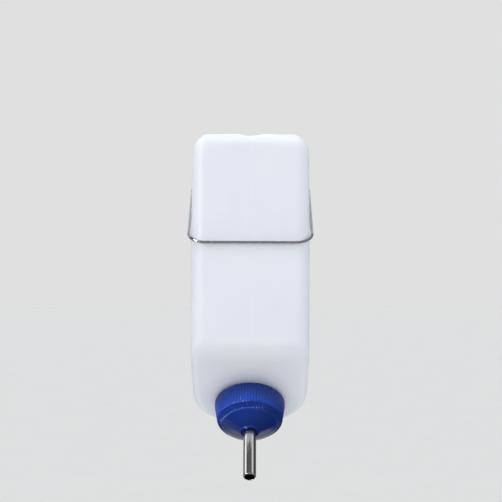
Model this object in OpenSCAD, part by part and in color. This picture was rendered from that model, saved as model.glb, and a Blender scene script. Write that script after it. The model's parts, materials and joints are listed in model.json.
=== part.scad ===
// Hanging water bottle for rabbits and other small animals.
//
// A flat, rectangular blow-moulded bottle hangs upside down. Its lower end is cut off at a slant, and a wide
// threaded neck stands square on that slant, so the mouth points down and forwards. A ribbed, domed screw cap
// carries a steel drinking tube that is closed by two loose balls. A bent wire hanger holds the bottle against
// a cage wall.
//
// Frame: X across the bottle, -Y to the front (the side that the tube points to), +Z up, millimetres.
// The origin lies in the plane of the cage wall, midway between the two hooks, where they rest on a cage wire.

/* [Bottle] */
// Width of the bottle
body_w = 88.6; // [80:0.2:88.8]
// Depth of the bottle, front to back
body_d = 62; // [58:1:68]
// Height of the bottle's back, from its flat end to the lowest edge
body_h = 225; // [200:1:250]
// Wall thickness
wall = 1.4; // [1.2:0.1:2.0]
// Radius of the upright edges
edge_r = 12; // [10:0.5:15]
// Corner radius at the top, seen from the front
top_corner_r = 14; // [12:1:18]
// Corner radius at the bottom, seen from the front
bottom_corner_r = 30; // [24:1:32]
// Radius between the flat end and the front and back
top_edge_r = 9; // [6:0.5:12]
// Radius between the front and the slanted shoulder
shoulder_r = 22; // [12:1:28]
// Radius of the lowest edge, where the slant meets the back
toe_r = 3; // [2:0.5:4]
// Depth of the pinch-off groove across the flat end
groove_depth = 2; // [1:0.1:2.5]
// Width of the pinch-off groove
groove_w = 16; // [10:1:18]
// How much the flat end falls from the groove to the corners
end_crown = 0.9; // [0.4:0.1:1.5]

/* [Neck and thread] */
// Outer diameter of the neck's wall
neck_d = 44; // [42:0.2:46.4]
// Inner diameter of the neck, the mouth
mouth_d = 40; // [36:0.2:40]
// Height of the neck above the slant
neck_h = 13.5; // [12:0.5:15]
// Distance from the lowest edge to the neck's axis, along the slant
neck_up_slant = 28.2; // [28:0.1:34]
// Thread pitch
pitch = 4; // [3.6:0.1:4.4]
// Height of the thread's ridge
thread_depth = 1.2; // [0.8:0.1:1.2]

/* [Cap] */
// Outer diameter of the cap over its ribs
cap_d = 54; // [54:0.5:58]
// Number of grip ribs
rib_count = 72; // [48:1:72]
// Depth of the grooves between the ribs
rib_depth = 0.6; // [0.4:0.1:0.8]
// Gap between the cap's rim and the slant
cap_gap = 1; // [0.5:0.1:1.5]
// Height of the cone's flat tip above the slant
boss_top = 28; // [26:0.1:29]

/* [Tube and valve] */
// Outer diameter of the drinking tube
tube_d = 9.525; // [8:0.005:9.6]
// Wall thickness of the tube
tube_wall = 0.5; // [0.4:0.05:0.6]
// Distance from the slant to the tube's open tip
tube_tip = 68.3; // [60:0.1:80]
// Width of the opening in the tube's rolled-in tip
tip_opening = 7.6; // [7.4:0.05:7.7]
// Diameter of each ball
ball_d = 8; // [7.9:0.05:8.1]

/* [Hanger] */
// Diameter of the wire
wire_d = 2.1; // [1.8:0.1:2.5]
// Distance between the arms, centre to centre
arm_span = 91.8; // [91:0.1:96]
// How far the front run lies below the hooks
hanger_drop = 40; // [30:1:50]
// Bend radius of the front corners
bend_r = 12; // [6:0.5:13]
// Room in each hook for a cage wire
hook_throat = 5; // [4.5:0.1:6]
// Length of each hook's downward leg
hook_leg = 14; // [10:0.5:20]

/* [Hidden] */
$fn = 96;

// Heights of the bottle in the frame. The flat end stands above the hooks.
top_z = 41;
toe_z = top_z - body_h;
slant = 45;

// Groove across the flat end: a cylinder that leaves a groove of the given width and depth.
groove_r = (pow(groove_w / 2, 2) + pow(groove_depth, 2)) / (2 * groove_depth);
lip_x = groove_w / 2 - 0.5;

// Neck and thread. Both ridges follow the same right-handed helix, half a pitch apart.
neck_y = -neck_up_slant * cos(slant);
neck_z = toe_z + neck_up_slant * sin(slant);
thread_turns = 2;
thread_start = 3;
thread_steps = 30;
thread_turn = 7;
thread_gap = 0.5;
ridge_foot = 2;
ridge_top = 1;
cap_ridge_foot = 1.6;
cap_ridge_top = 0.8;
cap_thread_turns = 1.5;
embed = 0.4;

// Cap. Its gasket lies between the neck's lip and the cap's flat inner face.
running_gap = 0.05;
gasket_t = 1.9;
gasket_rim_gap = 0.3;
gasket_bore_gap = 0.09;
cap_inner_r = neck_d / 2 + thread_depth + thread_gap;
cap_face = neck_h + gasket_t + 2 * running_gap;
shoulder_bend = 8;
skirt_top = 12;
cone_slope = 30;
cone_foot_r = cap_d / 2 - shoulder_bend + shoulder_bend * sin(cone_slope);
cone_foot_z = skirt_top + shoulder_bend * cos(cone_slope);
boss_r = cone_foot_r - (boss_top - cone_foot_z) / tan(cone_slope);
cone_wall = 2.2;
groove_foot = 0.6;
groove_mouth = 1.8;
groove_reach = 1;
core_inner_r = 9;
core_outer_r = 20.5;

// Tube. Its tip is rolled in and a bead is rolled into its wall inside the cap, so the balls stay between them.
// At rest both balls lie back against the bead. They can run forward until the front one meets the tip.
tube_r = tube_d / 2;
tube_bore_r = tube_r - tube_wall;
flange_r = 7.5;
flange_z = neck_h - tube_wall;
lip_r = tube_r - tip_opening / 2;
bead_depth = 0.55;
bead_round = 1.1;
bead_z = boss_top - 1;
bead_centre_r = tube_bore_r - bead_depth + bead_round;
ball_r = ball_d / 2;
ball_gap = 0.1;
rear_ball_z = bead_z + sqrt(pow(bead_round + ball_r, 2) - pow(bead_centre_r, 2)) + ball_gap / 2;
front_ball_z = rear_ball_z + ball_d + ball_gap;

// Hanger. The front run lies just in front of the bottle, and the arms rise to the hooks behind it.
wire_r = wire_d / 2;
wire_gap = 0.35;
arm_x = arm_span / 2;
run_y = -body_d - wire_gap - wire_r;
apex_y = hook_throat + wire_r;
apex_z = 4.2;
hook_bend_r = 2.6;
bend_lap = 0.05;
bend_swell = 0.02;

// ---------------------------------------------------------------- helpers

function unit(v) = v / norm(v);

// Point at distance `reach` from corner i of a closed outline, towards the corner `step` places on.
function along(points, i, step, reach) =
    let (n = len(points), p = points[i], q = points[(i + step + n) % n])
    p + unit(q - p) * reach;

// Half of the angle inside corner i.
function half_angle(points, i) =
    let (
        n = len(points),
        a = unit(points[(i + n - 1) % n] - points[i]),
        b = unit(points[(i + 1) % n] - points[i])
    )
    acos(a * b) / 2;

// A convex outline with a true arc at every corner whose radius isn't 0.
module rounded_outline(points, radii) {
    corners = [for (i = [0 : len(points) - 1]) i];
    reach = [for (i = corners) radii[i] / tan(half_angle(points, i))];
    polygon([
        for (i = corners)
            for (step = [-1, 1])
                along(points, i, step, reach[i])
    ]);
    for (i = corners)
        if (radii[i] > 0) {
            a = along(points, i, -1, reach[i]);
            b = along(points, i, 1, reach[i]);
            translate(points[i] + unit((a + b) / 2 - points[i]) * radii[i] / sin(half_angle(points, i)))
                circle(r = radii[i]);
        }
}

// Moves its children into the neck's own frame: origin on the slant, +Z out through the mouth.
module on_neck() {
    translate([0, neck_y, neck_z])
        rotate([180 - slant, 0, 0])
            children();
}

// A helical thread ridge of trapezoid section, w_in wide at radius r_in and w_out wide at radius r_out.
module thread_ridge(r_in, r_out, w_in, w_out, z0, turns) {
    rings = round(turns * thread_steps);
    section = [[r_in, w_in / 2], [r_out, w_out / 2], [r_out, -w_out / 2], [r_in, -w_in / 2]];
    points = [
        for (i = [0 : rings])
            for (p = section)
                let (a = thread_turn + 360 * i / thread_steps, z = z0 + pitch * i / thread_steps)
                [p[0] * cos(a), p[0] * sin(a), z + p[1]]
    ];
    sides = [
        for (i = [0 : rings - 1])
            for (k = [0 : 3])
                let (a = 4 * i + k, b = 4 * i + (k + 1) % 4)
                [a, a + 4, b + 4, b]
    ];
    ends = [[0, 1, 2, 3], [for (k = [3 : -1 : 0]) 4 * rings + k]];
    polyhedron(points, concat(sides, ends));
}

// A straight piece of wire between two points. Its ends reach a little way into the bends that it meets.
module wire_straight(a, b) {
    v = unit(b - a);
    translate(a - v * bend_lap)
        rotate([0, acos(v[2]), atan2(v[1], v[0])])
            cylinder(h = norm(b - a) + 2 * bend_lap, r = wire_r);
}

// The bend of a wire that comes from point a, turns near corner p at radius r and leaves towards point b.
// A bend is a hair thicker than the straight wire.
module wire_bend(a, p, b, r) {
    u = unit(a - p);
    v = unit(b - p);
    half = acos(u * v) / 2;
    centre = p + unit(u + v) * r / sin(half);
    start = unit(p + u * r / tan(half) - centre);
    normal = unit(cross(u, v));
    side = cross(normal, start);
    turn = 180 - 2 * half;
    multmatrix([
        [start[0], side[0], normal[0], centre[0]],
        [start[1], side[1], normal[1], centre[1]],
        [start[2], side[2], normal[2], centre[2]],
        [0, 0, 0, 1]
    ])
        rotate([0, 0, -turn])
            rotate_extrude(angle = turn)
                translate([r, 0])
                    circle(r = wire_r + bend_swell);
}

// ---------------------------------------------------------------- sub-parts

// The bottle's solid form, drawn `inset` inside its outer surface.
module bottle_form(inset) {
    w = body_w / 2 - inset;
    d = body_d;
    back = -inset;
    front = -d + inset;
    high = top_z - inset;
    slant_shift = inset / cos(slant);
    side_view = [
        [back, high],
        [front, high],
        [front, toe_z - front + slant_shift],
        [back, toe_z - back + slant_shift]
    ];
    side_radii = [top_edge_r, top_edge_r, shoulder_r, toe_r];
    low = toe_z + inset;
    front_view = [[-w, low], [w, low], [w, high - end_crown], [lip_x, high], [-lip_x, high], [-w, high - end_crown]];
    front_radii = [bottom_corner_r, bottom_corner_r, top_corner_r, 0, 0, top_corner_r];
    difference() {
        intersection() {
            // from the side
            rotate([90, 0, 90])
                translate([0, 0, -w])
                    linear_extrude(2 * w)
                        rounded_outline(side_view, [for (r = side_radii) max(r - inset, 1)]);
            // from the front
            rotate([90, 0, 0])
                linear_extrude(d)
                    rounded_outline(front_view, [for (r = front_radii) max(r - inset, 0)]);
            // from above
            translate([0, 0, toe_z])
                linear_extrude(body_h)
                    rounded_outline(
                        [[-w, front], [w, front], [w, back], [-w, back]],
                        (edge_r - inset) * [1, 1, 1, 1]
                    );
        }
        // pinch-off groove across the flat end
        translate([0, 0, top_z - groove_depth + groove_r])
            rotate([90, 0, 0])
                cylinder(h = d, r = groove_r + inset);
    }
}

// Blow-moulded bottle with its threaded neck: one piece.
module bottle() {
    neck_foot = -2;
    color([0.86, 0.89, 0.93])
        difference() {
            union() {
                bottle_form(0);
                on_neck() {
                    translate([0, 0, neck_foot])
                        cylinder(h = neck_h - neck_foot, d = neck_d);
                    thread_ridge(
                        neck_d / 2 - embed, neck_d / 2 + thread_depth,
                        ridge_foot, ridge_top, thread_start, thread_turns
                    );
                }
            }
            bottle_form(wall);
            on_neck()
                translate([0, 0, neck_foot - 1])
                    cylinder(h = neck_h - neck_foot + 2, d = mouth_d);
        }
}

// The grooves between the cap's ribs, seen along its axis.
module rib_grooves() {
    bottom_r = cap_d / 2 - rib_depth;
    outer_r = cap_d / 2 + groove_reach;
    for (i = [0 : rib_count - 1])
        rotate(360 * (i + 0.5) / rib_count)
            polygon([
                [bottom_r, -groove_foot / 2],
                [outer_r, -groove_mouth / 2],
                [outer_r, groove_mouth / 2],
                [bottom_r, groove_foot / 2]
            ]);
}

// Screw cap: ribbed skirt, rounded shoulder and a cone that ends in the tube's boss.
module screw_cap() {
    color([0.09, 0.16, 0.55])
        on_neck() {
            difference() {
                rotate_extrude() {
                    polygon([
                        [0, cap_gap],
                        [cap_d / 2, cap_gap],
                        [cap_d / 2, skirt_top],
                        [cone_foot_r, cone_foot_z],
                        [boss_r, boss_top],
                        [0, boss_top]
                    ]);
                    translate([cap_d / 2 - shoulder_bend, skirt_top])
                        circle(r = shoulder_bend);
                }
                linear_extrude(boss_top)
                    rib_grooves();
                // room for the neck and the gasket
                translate([0, 0, cap_gap - 1])
                    cylinder(h = cap_face - cap_gap + 1, r = cap_inner_r);
                // cored-out underside of the cone
                rotate_extrude()
                    polygon([
                        [core_inner_r, cap_face - 1],
                        [core_outer_r, cap_face - 1],
                        [core_outer_r, cone_foot_z + (cone_foot_r - core_outer_r) * tan(cone_slope) - cone_wall],
                        [core_inner_r, cone_foot_z + (cone_foot_r - core_inner_r) * tan(cone_slope) - cone_wall]
                    ]);
                // hole for the tube
                cylinder(h = boss_top + 1, r = tube_r + running_gap);
            }
            thread_ridge(
                neck_d / 2 + thread_gap, cap_inner_r + embed,
                cap_ridge_top, cap_ridge_foot, thread_start + pitch / 2, cap_thread_turns
            );
        }
}

// Flat rubber washer that seals the neck's lip and the tube's flange.
module cap_gasket() {
    color([0.12, 0.12, 0.13])
        on_neck()
            translate([0, 0, neck_h + running_gap])
                difference() {
                    cylinder(h = gasket_t, r = cap_inner_r - gasket_rim_gap);
                    translate([0, 0, -1])
                        cylinder(h = gasket_t + 2, r = tube_r + gasket_bore_gap);
                }
}

// Steel drinking tube: a flange inside the cap, a bead that stops the balls and a rolled-in tip.
module drinking_tube() {
    lip_z = tube_tip - lip_r;
    color([0.72, 0.72, 0.73])
        on_neck()
            rotate_extrude()
                difference() {
                    union() {
                        translate([tube_bore_r, flange_z])
                            square([tube_wall, lip_z - flange_z]);
                        translate([tube_bore_r, flange_z])
                            square([flange_r - tube_bore_r, tube_wall]);
                        translate([bead_centre_r, bead_z])
                            circle(r = bead_round);
                        intersection() {
                            translate([tip_opening / 2, lip_z])
                                circle(r = lip_r);
                            translate([tip_opening / 2, lip_z])
                                square(lip_r);
                        }
                    }
                    // the hollow behind the rolled-in tip
                    translate([tip_opening / 2, lip_z])
                        circle(r = lip_r - tube_wall);
                    // the groove that the bead leaves outside
                    translate([bead_centre_r + tube_wall, bead_z])
                        circle(r = bead_round);
                }
}

// One steel ball in the tube, its centre at height z above the slant.
module valve_ball(z) {
    color([0.66, 0.67, 0.69])
        on_neck()
            translate([0, 0, z])
                sphere(d = ball_d);
}

// Bent wire hanger: front run, two rising arms and two hooks, all one wire.
module wire_hanger() {
    run = [arm_x, run_y, -hanger_drop];
    apex = [arm_x, apex_y, apex_z];
    tip = [arm_x, apex_y, apex_z - hook_leg];
    arm = unit(apex - run);
    hook_half = acos(unit(run - apex) * [0, 0, -1]) / 2;
    hook_reach = hook_bend_r / tan(hook_half);
    corner_end = run + arm * bend_r;
    hook_start = apex - arm * hook_reach;
    color([0.75, 0.76, 0.78]) {
        wire_straight([-arm_x + bend_r, run_y, -hanger_drop], [arm_x - bend_r, run_y, -hanger_drop]);
        for (side = [0, 1])
            mirror([side, 0, 0]) {
                wire_bend([0, run_y, -hanger_drop], run, apex, bend_r);
                wire_straight(corner_end, hook_start);
                wire_bend(run, apex, tip, hook_bend_r);
                wire_straight(apex - [0, 0, hook_reach], tip);
            }
    }
}

bottle();
screw_cap();
cap_gasket();
drinking_tube();
valve_ball(front_ball_z);  // front_ball
valve_ball(rear_ball_z);  // rear_ball
wire_hanger();
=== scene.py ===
"""Hanging water bottle for rabbits: the looks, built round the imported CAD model.

Metres, in the row frame: X across the bottle, -Y to the front, +Z up, origin between the hanger's two hooks.
"""

import json
import math

import bmesh
import bpy
import numpy as np
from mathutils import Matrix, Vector


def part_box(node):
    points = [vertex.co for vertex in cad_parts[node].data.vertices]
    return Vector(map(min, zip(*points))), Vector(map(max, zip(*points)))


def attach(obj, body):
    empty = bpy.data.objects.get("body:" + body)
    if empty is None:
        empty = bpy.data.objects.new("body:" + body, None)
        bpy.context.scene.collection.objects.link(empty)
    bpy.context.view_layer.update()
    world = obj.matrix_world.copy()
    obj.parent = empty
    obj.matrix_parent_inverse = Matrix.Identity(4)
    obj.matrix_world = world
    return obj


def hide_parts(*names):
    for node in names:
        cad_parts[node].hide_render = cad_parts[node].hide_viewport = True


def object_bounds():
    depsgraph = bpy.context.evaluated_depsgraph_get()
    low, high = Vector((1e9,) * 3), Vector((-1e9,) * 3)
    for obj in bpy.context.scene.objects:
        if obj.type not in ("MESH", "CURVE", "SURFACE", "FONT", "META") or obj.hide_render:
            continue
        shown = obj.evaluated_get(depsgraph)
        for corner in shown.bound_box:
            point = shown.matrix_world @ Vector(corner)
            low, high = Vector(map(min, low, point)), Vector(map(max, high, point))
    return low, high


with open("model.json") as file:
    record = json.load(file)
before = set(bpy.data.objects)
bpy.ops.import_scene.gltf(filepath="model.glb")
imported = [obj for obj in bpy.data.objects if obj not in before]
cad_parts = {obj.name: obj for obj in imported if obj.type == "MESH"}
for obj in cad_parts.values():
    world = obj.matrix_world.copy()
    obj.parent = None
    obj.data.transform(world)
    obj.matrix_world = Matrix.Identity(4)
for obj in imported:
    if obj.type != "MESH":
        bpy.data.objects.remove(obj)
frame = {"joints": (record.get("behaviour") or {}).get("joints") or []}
cad_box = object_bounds()

# ---------------------------------------------------------------- sizes

MM = 0.001

# Bottle, from the CAD node and the same driving sizes
bottle_low, bottle_high = (Vector(corner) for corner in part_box("bottle"))
HALF_W = bottle_high.x
FRONT = bottle_low.y
TOP = bottle_high.z
BODY_H = 225 * MM
TOE = TOP - BODY_H
WALL = 1.4 * MM
EDGE_R = 12 * MM
TOP_CORNER_R = 14 * MM
TOP_EDGE_R = 9 * MM
BOTTOM_CORNER_R = 30 * MM
SLANT_EDGE_R = 6.3 * MM
GROOVE_W = 16 * MM
GROOVE_DEPTH = 2 * MM
LIP_ROUND = 1.2 * MM
END_CROWN = 0.9 * MM
WIDEST_AT = 0.45  # share of the height
TAPER_TOP = 0.75 * MM
TAPER_BOTTOM = 0.45 * MM
PANEL_SINK = 0.35 * MM
PANEL_FADE = 30 * MM
SEAM_HEIGHT = 0.06 * MM
SEAM_WIDTH = 0.55 * MM
SCAR_HEIGHT = 0.25 * MM

# Neck, cap and tube: lengths along the cap's own axis, from the slanted face
joints = {joint["name"]: joint for joint in frame["joints"]}
NECK_ORIGIN = Vector(joints["cap_turn"]["pos_m"])
NECK_AXIS = Vector(joints["cap_turn"]["axis"]).normalized()
NECK_SIDE = Vector((1, 0, 0))
NECK_UP = NECK_AXIS.cross(NECK_SIDE)
NECK_R = 22 * MM
MOUTH_R = 20 * MM
NECK_H = 13.5 * MM
LIP_EDGE_R = 0.6 * MM
FOOT_FLARE = 1.1 * MM
# (flare, rise) in millimetres, from the slanted face up to the neck's straight wall
FOOT_FILLET = ((0.55, 0.25), (0.15, 0.65), (0, 1.3))
FOOT_TOP = 2.2 * MM
PITCH = 4 * MM
THREAD_DEPTH = 1.2 * MM
THREAD_START = 3 * MM
THREAD_TURNS = 2
THREAD_TURN = math.radians(7)
THREAD_FADE = 0.06  # of a turn
NECK_RIDGE = (0.95 * MM, 0.45 * MM)  # half of its width at the foot and at the top
CAP_RIDGE = (0.8 * MM, 0.4 * MM)
CAP_THREAD_TURNS = 1.5

CAP_R = 27 * MM
RIBS = 72
RIB_DEPTH = 0.6 * MM
# Shares of a rib's spacing: its flat top, and both its flanks together
RIB_TOP = 0.45
RIB_FLANK = 0.27
SHOULDER_RIB_SHARE = 0.35
CAP_EDGE_R = 0.5 * MM
CAP_GAP = 1 * MM
SKIRT_STRAIGHT = 4 * MM
SHOULDER = (25.0 * MM, 16.9 * MM)
SHOULDER_ROUND = 2.4 * MM
FACE_EDGE = (20.7 * MM, 20.7 * MM)
BOSS_R = 7.4 * MM
CONE_BULGE = 0.5 * MM
BOSS_TOP = 28 * MM
# (widening, depth) in millimetres at the mouth of the tube's hole
HOLE_EDGE = ((0.35, 0), (0.1, 0.1), (0, 0.4))
CAP_FACE = 15.5 * MM
CAP_BORE_R = 23.7 * MM
CORE_INNER_R = 9 * MM
CORE_OUTER_R = 20.5 * MM
CONE_WALL = 2.2 * MM

TUBE_R = 9.525 / 2 * MM
TUBE_WALL = 0.5 * MM
TUBE_TIP = 68.3 * MM
TIP_OPENING_R = 3.8 * MM
FLANGE_R = 7.5 * MM
FLANGE_S = NECK_H - TUBE_WALL
FLANGE_FILLET = 0.3 * MM
BEAD_S = BOSS_TOP - 1 * MM
BEAD_DEPTH = 0.55 * MM
BEAD_ROUND = 1.1 * MM
GASKET_T = 1.9 * MM
GASKET_RIM_GAP = 0.3 * MM
GASKET_BORE_GAP = 0.09 * MM
GASKET_EDGE_R = 0.3 * MM
FIT_GAP = 0.05 * MM

# Hanger
WIRE_R = 1.05 * MM
ARM_X = 45.9 * MM
RUN_Y = FRONT - 0.35 * MM - WIRE_R
RUN_Z = -40 * MM
APEX_Y = 5 * MM + WIRE_R
APEX_Z = 4.2 * MM
HOOK_LEG = 14 * MM
CORNER_BEND = 12 * MM
HOOK_BEND = 2.6 * MM

# ---------------------------------------------------------------- mesh helpers


def lerp(a, b, t):
    return a + (b - a) * t


def ring_faces(first, count, rings, closed=False):
    """Quads between successive rings of `count` points. The points' numbers start at `first`."""
    total = count * rings
    steps = rings if closed else rings - 1
    faces = []
    for k in range(steps):
        a = k * count
        b = (k + 1) * count % total
        for i in range(count):
            j = (i + 1) % count
            faces.append((first + a + i, first + a + j, first + b + j, first + b + i))
    return faces


def make_piece(name, points, faces, body, slot, material, replaces=()):
    """A smooth-shaded mesh piece that rides on a body."""
    mesh = bpy.data.meshes.new(name)
    mesh.from_pydata([tuple(map(float, p)) for p in points], [], faces)
    work = bmesh.new()
    work.from_mesh(mesh)
    bmesh.ops.recalc_face_normals(work, faces=work.faces)
    work.to_mesh(mesh)
    work.free()
    mesh.polygons.foreach_set("use_smooth", [True] * len(mesh.polygons))
    piece = bpy.data.objects.new(name, mesh)
    bpy.context.scene.collection.objects.link(piece)
    mesh.materials.append(material)
    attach(piece, body)
    if replaces:
        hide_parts(*replaces)
    return piece


def from_neck(radius, angle, s):
    """Points in the row frame, from a radius, an angle and a length along the cap's axis."""
    radius, angle, s = np.broadcast_arrays(radius, angle, s)
    side = np.multiply.outer(radius * np.cos(angle), np.array(NECK_SIDE))
    up = np.multiply.outer(radius * np.sin(angle), np.array(NECK_UP))
    out = np.multiply.outer(s, np.array(NECK_AXIS))
    return np.array(NECK_ORIGIN) + side + up + out


def arc(centre, radius, start, end, steps):
    """Points (r, s) on an arc, angles in degrees."""
    angles = np.radians(np.linspace(start, end, steps + 1))
    return [(centre[0] + radius * math.cos(a), centre[1] + radius * math.sin(a)) for a in angles]


def straight(a, b, steps):
    """Points (r, s) along a straight stretch, without its first one."""
    return [(lerp(a[0], b[0], k / steps), lerp(a[1], b[1], k / steps)) for k in range(1, steps + 1)]


def lerp2(a, b, t):
    """The point (r, s) a share t of the way from a to b."""
    return lerp(a[0], b[0], t), lerp(a[1], b[1], t)


def rounded_corner(before, corner, after, radius, run_steps, arc_steps):
    """Points (r, s) from `before` to a rounded corner and round it, without the first one."""
    a, p, c = (np.array(point) for point in (before, corner, after))
    u = (a - p) / np.linalg.norm(a - p)
    v = (c - p) / np.linalg.norm(c - p)
    half = math.acos(u @ v) / 2
    centre = p + (u + v) / np.linalg.norm(u + v) * radius / math.sin(half)
    start = p + u * radius / math.tan(half)
    end = p + v * radius / math.tan(half)
    first, last = (math.degrees(math.atan2(*(q - centre)[::-1])) for q in (start, end))
    return straight(before, tuple(start), run_steps) + arc(tuple(centre), radius, first, last, arc_steps)[1:]


def helix_ridge(angle, s, start, turns, half_foot, half_top):
    """A thread ridge's height as a share of its full height, faded out at both ends."""
    height = np.zeros(np.broadcast(angle, s).shape)
    along = (angle - THREAD_TURN) % (2 * math.pi)
    for lap in range(math.ceil(turns) + 1):
        turned = along / (2 * math.pi) + lap
        off_centre = np.abs(s - start - PITCH * turned)
        flank = np.clip((half_foot - off_centre) / (half_foot - half_top), 0, 1)
        fade = np.clip(turned / THREAD_FADE, 0, 1) * np.clip((turns - turned) / THREAD_FADE, 0, 1)
        height = np.maximum(height, flank * flank * (3 - 2 * flank) * fade)
    return height


# ---------------------------------------------------------------- bottle


def round_max(a, b, radius):
    """The larger of two distances, with a fillet of about the given radius where they meet."""
    outside = np.hypot(np.maximum(a + radius, 0), np.maximum(b + radius, 0))
    return np.minimum(np.maximum(a, b), -radius) + outside


def bottle_field(p):
    """About the distance outside the bottle's skin, negative inside it."""
    x, y, z = p.T
    across = np.abs(x)
    height = (z - TOE) / BODY_H

    # the sides draw in slightly towards both ends, and more in the big bottom corners
    half_w = HALF_W - TAPER_TOP * np.clip((height - WIDEST_AT) / (1 - WIDEST_AT), 0, 1) ** 2
    half_w -= TAPER_BOTTOM * np.clip((WIDEST_AT - height) / WIDEST_AT, 0, 1) ** 2
    below = np.clip(TOE + BOTTOM_CORNER_R - z, 0, BOTTOM_CORNER_R * 0.999)
    half_w -= BOTTOM_CORNER_R - np.sqrt(BOTTOM_CORNER_R**2 - below**2)

    # rounded rectangle seen from above
    qx = across - (half_w - EDGE_R)
    qy = np.abs(y - FRONT / 2) - (-FRONT / 2 - EDGE_R)
    corner = np.hypot(np.maximum(qx, 0), np.maximum(qy, 0))
    plan = corner + np.minimum(np.maximum(qx, qy), 0) - EDGE_R

    # the broad faces sink a little between their edges
    middle = np.clip(1 - (x / (HALF_W - EDGE_R)) ** 2, 0, 1) * np.clip((TOP - z) / PANEL_FADE, 0, 1)
    plan = np.where(qy > qx, plan + PANEL_SINK * middle**0.5, plan)

    # the flat end, with a tighter radius to the front and back than to the sides
    sideways = np.where(corner > 0, (np.maximum(qx, 0) / np.maximum(corner, 1e-9)) ** 2, qx > qy)
    end_r = lerp(TOP_EDGE_R, TOP_CORNER_R, sideways)
    end = z - TOP + END_CROWN * np.clip(across - GROOVE_W / 2, 0, None) / (HALF_W - GROOVE_W / 2)
    body = round_max(plan, end, end_r)

    # slanted face
    body = round_max(body, (TOE - y - z) / math.sqrt(2), SLANT_EDGE_R)

    # pinch-off groove across the flat end, and the fine seam that the two mould halves leave
    groove_r = ((GROOVE_W / 2) ** 2 + GROOVE_DEPTH**2) / (2 * GROOVE_DEPTH)
    groove = groove_r - np.hypot(x, z - (TOP - GROOVE_DEPTH + groove_r))
    body = round_max(body, groove, LIP_ROUND)
    seam = np.clip(1 - across / SEAM_WIDTH, 0, 1)
    return body - seam * np.where(z > TOP - GROOVE_DEPTH * 1.5, SCAR_HEIGHT, SEAM_HEIGHT)


def slope(field, p):
    """The field's gradient by central differences."""
    step = 0.01 * MM
    shifts = np.eye(3) * step
    return np.stack([(field(p + d) - field(p - d)) / (2 * step) for d in shifts], axis=1)


def drop_onto(p, depth, direction=None):
    """Moves points onto the skin, or `depth` inside it, along the field's gradient or one fixed direction."""
    for _ in range(30):
        excess = bottle_field(p) + depth
        steepest = slope(bottle_field, p)
        if direction is None:
            p = p - steepest * (0.8 * excess / np.maximum((steepest**2).sum(1), 0.2))[:, None]
        else:
            p = p - np.multiply.outer(0.8 * excess / (steepest @ direction), direction)
    return p


def spread(stretches):
    """Places along a line: each stretch is (its end, its number of steps)."""
    places = [0.0]
    for end, steps in stretches:
        places += list(np.linspace(places[-1], end, steps + 1)[1:])
    return np.array(places)


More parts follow.
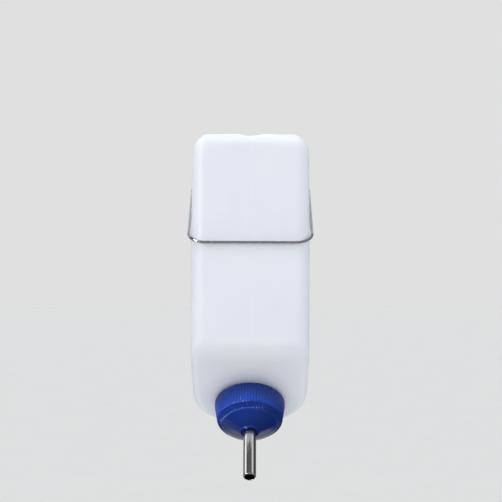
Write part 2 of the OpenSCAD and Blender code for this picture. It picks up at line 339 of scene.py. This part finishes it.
def bottle_mesh():
    """One closed skin: flat end, walls, slanted face, threaded neck, lip, bore and the inner walls."""
    half = spread([(0.55, 1), (6, 5), (9.6, 5), (32, 9), (44.3, 9)])
    half *= HALF_W / half[-1]
    xs = np.concatenate([-half[:0:-1], half])
    back = spread([(12, 8), (50, 16), (62, 8)])
    ys = FRONT - FRONT * back / back[-1]
    nx, ny = len(xs) - 1, len(ys) - 1
    edge = [(i, 0) for i in range(nx)] + [(nx, j) for j in range(ny)]
    edge += [(i, ny) for i in range(nx, 0, -1)] + [(0, j) for j in range(ny, 0, -1)]
    count = len(edge)
    edge_x = np.array([xs[i] for i, _ in edge])
    edge_y = np.array([ys[j] for _, j in edge])
    angles = math.pi / 2 + 2 * math.pi * (nx / 2 - np.arange(count)) / count

    def wall_ring(t, depth):
        z = lerp(TOP, TOE - edge_y, t)
        return drop_onto(np.stack([edge_x, edge_y, z], axis=1), depth)

    def root_ring(radius, depth):
        flat = from_neck(radius, angles, 0.0)
        return drop_onto(flat, depth, np.array(NECK_AXIS))

    def slant_ring(f, radius, depth):
        outline = np.stack([edge_x, edge_y, TOE - edge_y], axis=1)
        hole = from_neck(radius, angles, 0.0)
        return drop_onto(lerp(outline, hole, f), depth)

    def foot_rings(radius, root):
        """The small fillet at the neck's foot, up to its straight wall."""
        foot = (root - np.array(NECK_ORIGIN)) @ np.array(NECK_AXIS)
        return [from_neck(radius + flare * MM, angles, foot + rise * MM) for flare, rise in FOOT_FILLET]

    rows = spread([(0.05, 8), (0.12, 8), (0.86, 54), (0.95, 10), (1.0, 8)])
    inward = spread([(0.3, 6), (1.0, 9)])[1:-1]
    lip = LIP_EDGE_R

    rings = [wall_ring(t, 0) for t in rows]
    root = root_ring(NECK_R + FOOT_FLARE, 0)
    rings += [slant_ring(f, NECK_R + FOOT_FLARE, 0) for f in inward] + [root]
    rings += foot_rings(NECK_R, root)
    for s in np.linspace(FOOT_TOP, NECK_H - lip, 38):
        ridge = helix_ridge(angles, s, THREAD_START, THREAD_TURNS, *NECK_RIDGE)
        rings.append(from_neck(NECK_R + THREAD_DEPTH * ridge, angles, s))
    for a in (30, 60, 90):
        bend = lip * (1 - math.cos(math.radians(a)))
        rings.append(from_neck(NECK_R - bend, angles, NECK_H - lip + lip * math.sin(math.radians(a))))
    for a in (0, 45, 90):
        bend = lip * math.sin(math.radians(a))
        rings.append(from_neck(MOUTH_R + lip - bend, angles, NECK_H - lip + lip * math.cos(math.radians(a))))
    rings += [from_neck(MOUTH_R, angles, s) for s in np.linspace(NECK_H - lip, FOOT_TOP, 9)[1:]]
    inner_root = root_ring(MOUTH_R + FOOT_FLARE, WALL)
    rings += foot_rings(MOUTH_R, inner_root)[::-1] + [inner_root]
    rings += [slant_ring(f, MOUTH_R + FOOT_FLARE, WALL) for f in inward[::-1]]
    rings += [wall_ring(t, WALL) for t in rows[::-2]]
    points = list(np.concatenate(rings))
    faces = ring_faces(0, count, len(rings))

    # the flat end and its inside are grids that close the first and the last ring
    for ring, depth in ((0, 0), (len(rings) - 1, WALL)):
        number = {place: ring * count + k for k, place in enumerate(edge)}
        inside = [(i, j) for i in range(1, nx) for j in range(1, ny)]
        flat = np.array([(xs[i], ys[j], TOP) for i, j in inside])
        for place, p in zip(inside, drop_onto(flat, depth)):
            number[place] = len(points)
            points.append(p)
        for i in range(nx):
            for j in range(ny):
                faces.append((number[i, j], number[i + 1, j], number[i + 1, j + 1], number[i, j + 1]))
    return points, faces


# ---------------------------------------------------------------- turned parts


def turned(profile, segments, radius_at=None):
    """A closed (r, s) profile turned about the cap's axis. radius_at(angles, k, r, s) may shape each ring."""
    angles = 2 * math.pi * np.arange(segments) / segments
    rings = []
    for k, (r, s) in enumerate(profile):
        if radius_at is None:
            rings.append(from_neck(r, angles, s))
        else:
            rings.append(from_neck(*radius_at(angles, k, r, s)))
    return np.concatenate(rings), ring_faces(0, segments, len(profile), closed=True)


def cap_mesh():
    """Ribbed skirt, rounded shoulder, cone with the tube's boss, and the threaded inside."""
    steps_per_rib = 8
    rim = CAP_EDGE_R
    foot = (CAP_R, SKIRT_STRAIGHT)

    outer = arc((CAP_R - rim, CAP_GAP + rim), rim, -90, 0, 3)
    outer += straight(outer[-1], foot, 2)
    outer += rounded_corner(foot, SHOULDER, FACE_EDGE, SHOULDER_ROUND, 8, 6)
    shoulder_rings = range(len(outer) - 7, len(outer))
    outer += straight(outer[-1], lerp2(SHOULDER, FACE_EDGE, 0.94), 5)
    ribbed_rings = len(outer)
    boss_edge = (BOSS_R, BOSS_TOP - rim)
    outer += [
        (r, s + CONE_BULGE * math.sin(math.pi * (FACE_EDGE[0] - r) / (FACE_EDGE[0] - BOSS_R)))
        for r, s in [FACE_EDGE] + straight(FACE_EDGE, boss_edge, 16)
    ]
    outer += arc((BOSS_R - rim, BOSS_TOP - rim), rim, 0, 90, 4)[1:]
    hole_r = TUBE_R + FIT_GAP
    inner = [(hole_r + wider * MM, BOSS_TOP - deep * MM) for wider, deep in HOLE_EDGE]
    inner += straight(inner[-1], (hole_r, CAP_FACE), 4)
    slope_of_cone = (BOSS_TOP - FACE_EDGE[1]) / (FACE_EDGE[0] - BOSS_R)
    core_top = FACE_EDGE[1] - CONE_WALL * 1.2
    core_tip = core_top + (CORE_OUTER_R - CORE_INNER_R) * slope_of_cone
    for corner in ((CORE_INNER_R, CAP_FACE), (CORE_INNER_R, core_tip), (CORE_OUTER_R, core_top),
                   (CORE_OUTER_R, CAP_FACE), (CAP_BORE_R, CAP_FACE)):
        inner += straight(inner[-1], corner, 3)
    threaded_from = len(outer) + len(inner)
    inner += straight(inner[-1], (CAP_BORE_R, CAP_GAP + rim), 44)
    inner.append((CAP_BORE_R + 0.2 * MM, CAP_GAP))

    across_rib = (np.arange(steps_per_rib * RIBS) + steps_per_rib / 2) % steps_per_rib / steps_per_rib
    from_rib = np.abs(across_rib - 0.5) * 2
    groove = np.clip((from_rib - RIB_TOP) / RIB_FLANK, 0, 1)

    def radius_at(angles, k, r, s):
        if k < ribbed_rings:
            depth = RIB_DEPTH * min(1, k / 3) * (SHOULDER_RIB_SHARE if k in shoulder_rings else 1)
            before, after = (np.array((outer + inner)[k + step]) for step in (-1, 1))
            along = after - before
            turn = math.atan2(-along[0], along[1])
            return r - depth * groove * math.cos(turn), angles, s - depth * groove * math.sin(turn)
        if k >= threaded_from:
            ridge = helix_ridge(angles, s, THREAD_START + PITCH / 2, CAP_THREAD_TURNS, *CAP_RIDGE)
            return r - THREAD_DEPTH * ridge, angles, s + 0 * angles
        return r + 0 * angles, angles, s + 0 * angles

    return turned(outer + inner, steps_per_rib * RIBS, radius_at)


def tube_mesh():
    """Rolled steel tube: flange, bead and a lip that is rolled in at the tip."""
    bore_r = TUBE_R - TUBE_WALL
    lip_r = TUBE_R - TIP_OPENING_R
    lip_s = TUBE_TIP - lip_r
    edge = TUBE_WALL / 2
    lip_turn = math.degrees(math.acos(edge / (lip_r - edge)))
    lip_end = (TIP_OPENING_R + edge, lip_s + math.sqrt((lip_r - edge) ** 2 - edge**2))
    centre_out = bore_r - BEAD_DEPTH + BEAD_ROUND + TUBE_WALL
    half = math.degrees(math.acos((centre_out - TUBE_R) / BEAD_ROUND))
    profile = arc((FLANGE_R - edge, FLANGE_S + edge), edge, -90, 90, 6)
    fillet = (TUBE_R + FLANGE_FILLET, FLANGE_S + TUBE_WALL + FLANGE_FILLET)
    profile += arc(fillet, FLANGE_FILLET, 270, 180, 4)
    profile += arc((centre_out, BEAD_S), BEAD_ROUND, 180 + half, 180 - half, 10)
    profile += straight(profile[-1], (TUBE_R, lip_s), 24)
    profile += arc((TIP_OPENING_R, lip_s), lip_r, 0, lip_turn, 10)[1:]
    profile += arc(lip_end, edge, lip_turn, lip_turn + 180, 6)[1:]
    profile += arc((TIP_OPENING_R, lip_s), lip_r - TUBE_WALL, lip_turn, 0, 6)[1:]
    inner_half = math.degrees(math.acos((BEAD_ROUND - BEAD_DEPTH) / BEAD_ROUND))
    inner_bead = (bore_r - BEAD_DEPTH + BEAD_ROUND, BEAD_S)
    profile += arc(inner_bead, BEAD_ROUND, 180 - inner_half, 180 + inner_half, 10)
    profile += straight(profile[-1], (bore_r, FLANGE_S + 0.15 * MM), 6)
    profile.append((bore_r + 0.15 * MM, FLANGE_S))
    return turned(profile, 128)


def gasket_mesh():
    """Flat washer with softly rounded edges."""
    outer_r = CAP_BORE_R - GASKET_RIM_GAP
    inner_r = TUBE_R + GASKET_BORE_GAP
    low = NECK_H + FIT_GAP
    edge = GASKET_EDGE_R
    top = low + GASKET_T
    profile = arc((outer_r - edge, low + edge), edge, -90, 0, 3)
    profile += arc((outer_r - edge, top - edge), edge, 0, 90, 3)
    profile += straight(profile[-1], (inner_r + edge, top), 8)
    profile += arc((inner_r + edge, top - edge), edge, 90, 180, 3)[1:]
    profile += arc((inner_r + edge, low + edge), edge, 180, 270, 3)
    profile += straight(profile[-1], (outer_r - edge, low), 8)[:-1]
    return turned(profile, 96)


def ball_mesh(node):
    """A ball as an inflated cube, so that its faces are all about the same size."""
    low, high = (np.array(corner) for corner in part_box(node))
    centre = (low + high) / 2
    radius = (high - low).min() / 2
    work = bmesh.new()
    bmesh.ops.create_cube(work, size=2)
    bmesh.ops.subdivide_edges(work, edges=work.edges, cuts=15, use_grid_fill=True)
    work.verts.ensure_lookup_table()
    points = []
    for v in work.verts:
        even = Vector(math.tan(c * math.pi / 4) for c in v.co)
        points.append(centre + np.array(even.normalized()) * radius)
    faces = [tuple(v.index for v in f.verts) for f in work.faces]
    work.free()
    return points, faces


# ---------------------------------------------------------------- wire


def filleted(corners, radii, arc_steps, straight_step):
    """A path along straight stretches and true arcs, from its corner points and their bend radii."""
    path = [corners[0]]

    def run_to(end):
        start = path[-1]
        steps = max(1, round((end - start).length / straight_step))
        path.extend(start.lerp(end, k / steps) for k in range(1, steps + 1))

    for before, corner, after, radius in zip(corners, corners[1:], corners[2:], radii):
        u = (before - corner).normalized()
        v = (after - corner).normalized()
        half = u.angle(v) / 2
        centre = corner + (u + v).normalized() * radius / math.sin(half)
        start = corner + u * radius / math.tan(half) - centre
        end = corner + v * radius / math.tan(half) - centre
        run_to(centre + start)
        bend = [start.slerp(end, k / arc_steps).normalized() for k in range(1, arc_steps + 1)]
        path.extend(centre + spoke * radius for spoke in bend)
    run_to(corners[-1])
    return path


def swept(path, radius, sides):
    """A round rod along a path, with rounded ends."""
    tangents = [(b - a).normalized() for a, b in zip(path, path[1:])]
    tangents = [tangents[0]] + [(a + b).normalized() for a, b in zip(tangents, tangents[1:])] + [tangents[-1]]
    dome = [(1 - math.cos(a), math.sin(a)) for a in np.radians((18, 36, 54, 72, 90))]
    stops = [(path[0] + tangents[0] * radius * back, tangents[0], share) for back, share in dome]
    for p, t in zip(path[1:-1], tangents[1:-1]):
        if min((p - path[0]).length, (p - path[-1]).length) > radius * 1.5:
            stops.append((p, t, 1))
    stops += [(path[-1] - tangents[-1] * radius * back, tangents[-1], share) for back, share in dome[::-1]]

    points = []
    side = tangents[0].orthogonal()
    for p, t, share in stops:
        side = (side - t * side.dot(t)).normalized()
        up = t.cross(side)
        for i in range(sides):
            a = 2 * math.pi * i / sides
            points.append(p + (side * math.cos(a) + up * math.sin(a)) * radius * share)
    rings = len(stops)
    faces = ring_faces(0, sides, rings)
    for first, tip in ((0, path[0]), ((rings - 1) * sides, path[-1])):
        number = len(points)
        points.append(tip)
        faces += [(first + i, first + (i + 1) % sides, number) for i in range(sides)]
    return points, faces


def hanger_mesh():
    """One spring wire: hook, arm, front run, arm, hook."""
    right = [
        Vector((ARM_X, APEX_Y, APEX_Z - HOOK_LEG)),
        Vector((ARM_X, APEX_Y, APEX_Z)),
        Vector((ARM_X, RUN_Y, RUN_Z)),
    ]
    left = [Vector((-p.x, p.y, p.z)) for p in right]
    corners = left + right[::-1]
    path = filleted(corners, [HOOK_BEND, CORNER_BEND, CORNER_BEND, HOOK_BEND], 16, 3 * MM)
    return swept(path, WIRE_R, 20)


# ---------------------------------------------------------------- materials


class Nodes:
    """Short calls for building a material's node tree."""

    def __init__(self, name):
        self.material = bpy.data.materials.new(name)
        self.material.use_nodes = True
        self.tree = self.material.node_tree
        self.shader = self.tree.nodes["Principled BSDF"]
        self.place = self.tree.nodes.new("ShaderNodeTexCoord").outputs["Object"]

    def link(self, source, target):
        self.tree.links.new(source, target)

    def set(self, **values):
        for name, value in values.items():
            self.shader.inputs[name.replace("_", " ")].default_value = value

    def stretched(self, scale, turn=(0, 0, 0)):
        """The object's own place, turned and then stretched."""
        place = self.place
        for name, value in (("Rotation", turn), ("Scale", scale)):
            node = self.tree.nodes.new("ShaderNodeMapping")
            node.inputs[name].default_value = value
            self.link(place, node.inputs["Vector"])
            place = node.outputs["Vector"]
        return place

    def noise(self, scale, detail=3.0, vector=None):
        node = self.tree.nodes.new("ShaderNodeTexNoise")
        node.inputs["Scale"].default_value = scale
        node.inputs["Detail"].default_value = detail
        self.link(vector or self.place, node.inputs["Vector"])
        return node.outputs["Fac"]

    def ramp(self, source, low, high, to_low, to_high):
        node = self.tree.nodes.new("ShaderNodeMapRange")
        for name, value in (("From Min", low), ("From Max", high), ("To Min", to_low), ("To Max", to_high)):
            node.inputs[name].default_value = value
        self.link(source, node.inputs["Value"])
        return node.outputs["Result"]

    def maths(self, operation, a, b):
        node = self.tree.nodes.new("ShaderNodeMath")
        node.operation = operation
        for socket, value in zip(node.inputs, (a, b)):
            if isinstance(value, (int, float)):
                socket.default_value = value
            else:
                self.link(value, socket)
        return node.outputs["Value"]

    def colours(self, factor, first, second):
        node = self.tree.nodes.new("ShaderNodeMix")
        node.data_type = "RGBA"
        self.link(factor, node.inputs["Factor"])
        for socket, value in (("A", first), ("B", second)):
            target = [s for s in node.inputs if s.name == socket and s.type == "RGBA"][0]
            if isinstance(value, tuple):
                target.default_value = (*value, 1)
            else:
                self.link(value, target)
        return [s for s in node.outputs if s.type == "RGBA"][0]

    def bump(self, source, height, strength, under=None):
        node = self.tree.nodes.new("ShaderNodeBump")
        node.inputs["Distance"].default_value = height
        node.inputs["Strength"].default_value = strength
        self.link(source, node.inputs["Height"])
        if under is not None:
            self.link(under, node.inputs["Normal"])
        return node.outputs["Normal"]


# How far from the noise's middle value a scratch has faded out
SCRATCH_REACH = 0.006


def scratches(n, scale, turn):
    """Thin, sparse lines: 1 on a scratch and 0 elsewhere."""
    lines = n.noise(1.0, 2.0, n.stretched(scale, turn))
    off = n.maths("ABSOLUTE", n.maths("SUBTRACT", lines, 0.5), 0)
    line = n.ramp(off, 0.0, SCRATCH_REACH, 1.0, 0.0)
    patches = n.ramp(n.noise(60, 2.0), 0.52, 0.62, 0.0, 1.0)
    return n.maths("MULTIPLY", line, patches)


def bottle_plastic():
    """Milky polyethylene: light passes into it, with faint flow marks, fine texture and scuffs."""
    n = Nodes("bottle_plastic")
    n.set(Subsurface_Weight=1.0, Subsurface_Scale=0.0016, IOR=1.5, Specular_IOR_Level=0.45)
    n.shader.inputs["Subsurface Radius"].default_value = (1.0, 1.0, 1.0)
    clouds = n.ramp(n.noise(22, 4.0), 0.3, 0.7, 0.0, 1.0)
    flow = n.noise(1.0, 3.0, n.stretched((260, 260, 14)))
    milk = n.colours(clouds, (0.765, 0.80, 0.87), (0.79, 0.82, 0.885))
    streaked = n.colours(n.ramp(flow, 0.55, 0.8, 0.0, 0.12), milk, (0.83, 0.86, 0.92))
    scuffs = scratches(n, (900, 900, 90), (0.4, 0.2, 0.3))
    scuffed = n.colours(n.maths("MULTIPLY", scuffs, 0.4), streaked, (0.9, 0.93, 0.96))
    n.link(scuffed, n.shader.inputs["Base Color"])
    rough = n.ramp(n.noise(90, 4.0), 0.3, 0.7, 0.34, 0.46)
    n.link(n.maths("ADD", rough, n.maths("MULTIPLY", scuffs, 0.15)), n.shader.inputs["Roughness"])
    skin = n.bump(n.noise(1500, 3.0), 0.00004, 0.6)
    waves = n.bump(n.noise(1.0, 2.0, n.stretched((55, 55, 18))), 0.0005, 0.35, skin)
    n.link(n.bump(scuffs, 0.00002, 0.5, waves), n.shader.inputs["Normal"])
    return n.material


def cap_plastic():
    """Glossy royal blue moulded plastic with a fine grain and light wear."""
    n = Nodes("cap_plastic")
    n.set(IOR=1.5, Specular_IOR_Level=0.4)
    clouds = n.ramp(n.noise(70, 4.0), 0.3, 0.7, 0.0, 1.0)
    base = n.colours(clouds, (0.002, 0.023, 0.18), (0.005, 0.033, 0.25))
    wear = scratches(n, (700, 120, 700), (0.8, 0.3, 0.2))
    n.link(n.colours(n.maths("MULTIPLY", wear, 0.35), base, (0.10, 0.16, 0.5)), n.shader.inputs["Base Color"])
    rough = n.ramp(n.noise(160, 4.0), 0.3, 0.7, 0.10, 0.17)
    n.link(n.maths("ADD", rough, n.maths("MULTIPLY", wear, 0.2)), n.shader.inputs["Roughness"])
    n.link(n.bump(n.noise(2400, 3.0), 0.00003, 0.5), n.shader.inputs["Normal"])
    return n.material


def polished_steel():
    """Stainless tube: fine lines drawn along it, water marks and handling scratches."""
    n = Nodes("tube_steel")
    n.set(Metallic=1.0)
    along = (math.radians(-45), 0, 0)
    drawn = n.noise(1.0, 3.0, n.stretched((2600, 2600, 40), along))
    marks = n.ramp(n.noise(420, 4.0), 0.35, 0.7, 0.0, 1.0)
    n.link(n.colours(marks, (0.60, 0.59, 0.57), (0.69, 0.68, 0.665)), n.shader.inputs["Base Color"])
    scuffs = scratches(n, (1600, 1600, 300), (0.3, 0.5, 0))
    rough = n.ramp(drawn, 0.3, 0.7, 0.11, 0.19)
    n.link(n.maths("ADD", rough, n.maths("MULTIPLY", scuffs, 0.18)), n.shader.inputs["Roughness"])
    n.link(n.bump(drawn, 0.000002, 0.3), n.shader.inputs["Normal"])
    return n.material


def plated_wire():
    """Bright plated spring wire with drawing lines along it and dull spots."""
    n = Nodes("hanger_wire")
    n.set(Metallic=1.0)
    dull = n.ramp(n.noise(260, 5.0), 0.45, 0.72, 0.0, 1.0)
    n.link(n.colours(dull, (0.66, 0.67, 0.69), (0.52, 0.52, 0.53)), n.shader.inputs["Base Color"])
    grain = n.noise(2600, 4.0)
    rough = n.ramp(grain, 0.3, 0.7, 0.14, 0.24)
    n.link(n.maths("ADD", rough, n.maths("MULTIPLY", dull, 0.12)), n.shader.inputs["Roughness"])
    n.link(n.bump(grain, 0.00001, 0.4), n.shader.inputs["Normal"])
    return n.material


def ball_steel():
    """Polished bearing steel with hairline scratches."""
    n = Nodes("ball_steel")
    n.set(Metallic=1.0)
    marks = n.ramp(n.noise(900, 4.0), 0.35, 0.7, 0.0, 1.0)
    n.link(n.colours(marks, (0.62, 0.63, 0.65), (0.70, 0.71, 0.72)), n.shader.inputs["Base Color"])
    hairs = scratches(n, (3000, 500, 3000), (0.7, 0.2, 0.4))
    n.link(n.maths("ADD", n.ramp(marks, 0, 1, 0.06, 0.11), n.maths("MULTIPLY", hairs, 0.2)),
           n.shader.inputs["Roughness"])
    n.link(n.bump(hairs, 0.000004, 0.5), n.shader.inputs["Normal"])
    return n.material


def gasket_rubber():
    """Matte black rubber with a dusty, slightly grained face."""
    n = Nodes("gasket_rubber")
    n.set(Specular_IOR_Level=0.35)
    dust = n.ramp(n.noise(180, 5.0), 0.4, 0.75, 0.0, 1.0)
    n.link(n.colours(dust, (0.018, 0.018, 0.02), (0.045, 0.045, 0.048)), n.shader.inputs["Base Color"])
    n.link(n.ramp(n.noise(700, 3.0), 0.3, 0.7, 0.62, 0.8), n.shader.inputs["Roughness"])
    n.link(n.bump(n.noise(3000, 3.0), 0.00005, 0.6), n.shader.inputs["Normal"])
    return n.material


# ---------------------------------------------------------------- studio

CAMERA_PLACE = Vector((0.5 * MM, -950 * MM, TOP - 87.5 * MM))
SENSOR = 36.0  # both in millimetres
LENS = 86.270916
ROLL = math.radians(-0.2)

SKY_COLOUR = (0.96, 0.98, 1.0)
BACKGROUND = (0.745, 0.745, 0.745)
LIGHT_ABOVE = 0.62
LIGHT_BELOW = 0.26
STUDIO_DARK = 0.07
STUDIO_FRONT = 0.30
# Cosines of the angles from straight up and from straight in front, between which each pair blends
SKY_BLEND = (-0.5, 0.3)
STUDIO_BLEND = (-0.2, 1.0)

# Panels that only gloss shows: direction, angle to the edge of full light, angle to no light, strength
REFLECTED_PANELS = [
    ((-0.79, -0.58, 0.24), 8, 12, 20.0),
    ((-0.77, 0.25, 0.57), 6, 13, 1.8),
    ((0.66, 0.10, 0.74), 9, 17, 0.85),
    ((0.92, -0.30, 0.10), 12, 26, 0.4),
    ((-0.75, 0.65, 0.05), 15, 35, 0.25),
    ((-0.28, 0.72, 0.63), 14, 24, 1.0),
    ((0.28, 0.72, 0.63), 14, 24, 0.9),
    ((-0.57, 0.20, -0.79), 8, 26, 0.4),
    ((-0.33, 0.43, -0.84), 7, 13, 0.6),
    ((0.33, 0.43, -0.84), 7, 13, 0.9),
    ((0.0, 0.85, -0.53), 22, 34, 0.5),
]
FLOOR_GLOW = 0.475
FLOOR_GAP = 1.3

# Softboxes: name, place from the object's middle, width, height, power, seen in gloss, only piece lit.
# "front" and "below" light only the bottle, and stand for light that comes through its milky walls.
# "cap_light" lights only the cap, and brightens its upper side.
SOFTBOXES = [
    ("key", (-1.3, -0.95, 0.42), 0.3, 0.7, 8, True, None),
    ("overhead", (-0.2, -0.7, 1.7), 1.2, 0.9, 12, False, None),
    ("fill", (1.6, -0.5, 0.2), 0.8, 0.8, 8.5, False, None),
    ("front", (-0.3, -1.7, 0.5), 1.2, 0.9, 5.5, False, "bottle_shell"),
    ("behind", (-0.8, 1.5, 0.9), 1.2, 0.9, 8, False, None),
    ("below", (0, -0.3, -1.8), 1.6, 1.6, 18, False, "bottle_shell"),
    ("cap_light", (-0.75, -0.65, 1.25), 0.35, 0.35, 40, False, "cap_shell"),
]


def add_camera():
    data = bpy.data.cameras.new("camera")
    data.sensor_width = SENSOR
    data.lens = LENS
    data.clip_start = 0.01
    camera = bpy.data.objects.new("camera", data)
    camera.location = CAMERA_PLACE
    camera.rotation_euler = (math.radians(90), ROLL, 0)
    bpy.context.scene.collection.objects.link(camera)
    bpy.context.scene.camera = camera


def add_floor():
    """A wide pale disc some way below the hanging bottle."""
    lowest = cad_box[0].z
    work = bmesh.new()
    bmesh.ops.create_circle(work, cap_ends=True, radius=30, segments=96)
    mesh = bpy.data.meshes.new("floor")
    work.to_mesh(mesh)
    work.free()
    floor = bpy.data.objects.new("floor", mesh)
    floor.location = (0, 0, lowest - FLOOR_GAP)
    bpy.context.scene.collection.objects.link(floor)
    n = Nodes("floor_paint")
    n.set(Specular_IOR_Level=0.2, Emission_Color=(1, 1, 1, 1), Emission_Strength=FLOOR_GLOW)
    n.link(n.colours(n.noise(3, 3.0), (0.40, 0.40, 0.40), (0.43, 0.43, 0.43)), n.shader.inputs["Base Color"])
    n.link(n.ramp(n.noise(12, 3.0), 0.3, 0.7, 0.6, 0.75), n.shader.inputs["Roughness"])
    mesh.materials.append(n.material)
    # gloss and soft light miss the floor and get the world's lower half instead,
    # and it casts no shadow, so the softbox under it still lights the bottle
    floor.visible_glossy = False
    floor.visible_diffuse = False
    floor.visible_shadow = False


def add_world():
    """Pale to the camera, softly lit from above and less from below, and dim with bright panels in gloss."""
    world = bpy.data.worlds.new("studio")
    bpy.context.scene.world = world
    world.use_nodes = True
    tree = world.node_tree
    tree.nodes.clear()
    direction = tree.nodes.new("ShaderNodeTexCoord").outputs["Generated"]

    def smooth(source, low, high, to_low, to_high):
        node = tree.nodes.new("ShaderNodeMapRange")
        node.interpolation_type = "SMOOTHSTEP"
        for name, value in (("From Min", low), ("From Max", high), ("To Min", to_low), ("To Max", to_high)):
            node.inputs[name].default_value = value
        tree.links.new(source, node.inputs["Value"])
        return node.outputs["Result"]

    def towards(aim):
        """The cosine of the angle between the ray and a direction."""
        node = tree.nodes.new("ShaderNodeVectorMath")
        node.operation = "DOT_PRODUCT"
        tree.links.new(direction, node.inputs[0])
        node.inputs[1].default_value = Vector(aim).normalized()
        return node.outputs["Value"]

    def added(first, second):
        node = tree.nodes.new("ShaderNodeMath")
        tree.links.new(first, node.inputs[0])
        tree.links.new(second, node.inputs[1])
        return node.outputs[0]

    def background(colour, strength=None):
        node = tree.nodes.new("ShaderNodeBackground")
        node.inputs["Color"].default_value = (*colour, 1)
        if strength is not None:
            tree.links.new(strength, node.inputs["Strength"])
        return node.outputs[0]

    def mixed(factor, first, second):
        node = tree.nodes.new("ShaderNodeMixShader")
        tree.links.new(factor, node.inputs["Fac"])
        tree.links.new(first, node.inputs[1])
        tree.links.new(second, node.inputs[2])
        return node.outputs[0]

    soft = background(SKY_COLOUR, smooth(towards((0, 0, 1)), *SKY_BLEND, LIGHT_BELOW, LIGHT_ABOVE))
    gloss = smooth(towards((0, -1, 0)), *STUDIO_BLEND, STUDIO_DARK, STUDIO_FRONT)
    for aim, inner, outer, strength in REFLECTED_PANELS:
        edges = math.cos(math.radians(outer)), math.cos(math.radians(inner))
        gloss = added(gloss, smooth(towards(aim), *edges, 0, strength))
    reflected = background(SKY_COLOUR, gloss)

    path = tree.nodes.new("ShaderNodeLightPath").outputs
    lit = mixed(path["Is Glossy Ray"], soft, reflected)
    out = tree.nodes.new("ShaderNodeOutputWorld")
    tree.links.new(mixed(path["Is Camera Ray"], lit, background(BACKGROUND)), out.inputs["Surface"])


def add_softbox(name, offset, width, height, power, in_gloss, receiver):
    """A rectangular light that points at the object's middle. With a receiver it lights only that piece."""
    middle = (cad_box[0] + cad_box[1]) / 2
    data = bpy.data.lights.new(name, "AREA")
    data.shape = "RECTANGLE"
    data.size, data.size_y = width, height
    data.energy = power
    light = bpy.data.objects.new(name, data)
    light.location = middle + Vector(offset)
    light.rotation_euler = (-Vector(offset)).to_track_quat("-Z", "Y").to_euler()
    light.visible_camera = False
    light.visible_glossy = in_gloss
    bpy.context.scene.collection.objects.link(light)
    if receiver:
        receivers = bpy.data.collections.new(name + "_receivers")
        receivers.objects.link(bpy.data.objects[receiver])
        light.light_linking.receiver_collection = receivers


# ---------------------------------------------------------------- the object

steel = polished_steel()
balls = ball_steel()
make_piece("bottle_shell", *bottle_mesh(), "bottle", "bottle_plastic", bottle_plastic(), ["bottle"])
make_piece("cap_shell", *cap_mesh(), "cap", "cap_plastic", cap_plastic(), ["screw_cap"])
make_piece("sipper_tube", *tube_mesh(), "cap", "tube_steel", steel, ["drinking_tube"])
make_piece("cap_washer", *gasket_mesh(), "seal", "gasket_rubber", gasket_rubber(), ["cap_gasket"])
for name in ("front_ball", "rear_ball"):
    make_piece(name + "_polished", *ball_mesh(name), name, "ball_steel", balls, [name])
make_piece("hanger_rod", *hanger_mesh(), "hanger", "hanger_wire", plated_wire(), ["wire_hanger"])

add_camera()
add_floor()
add_world()
for softbox in SOFTBOXES:
    add_softbox(*softbox)
bpy.context.scene.view_settings.view_transform = "Standard"
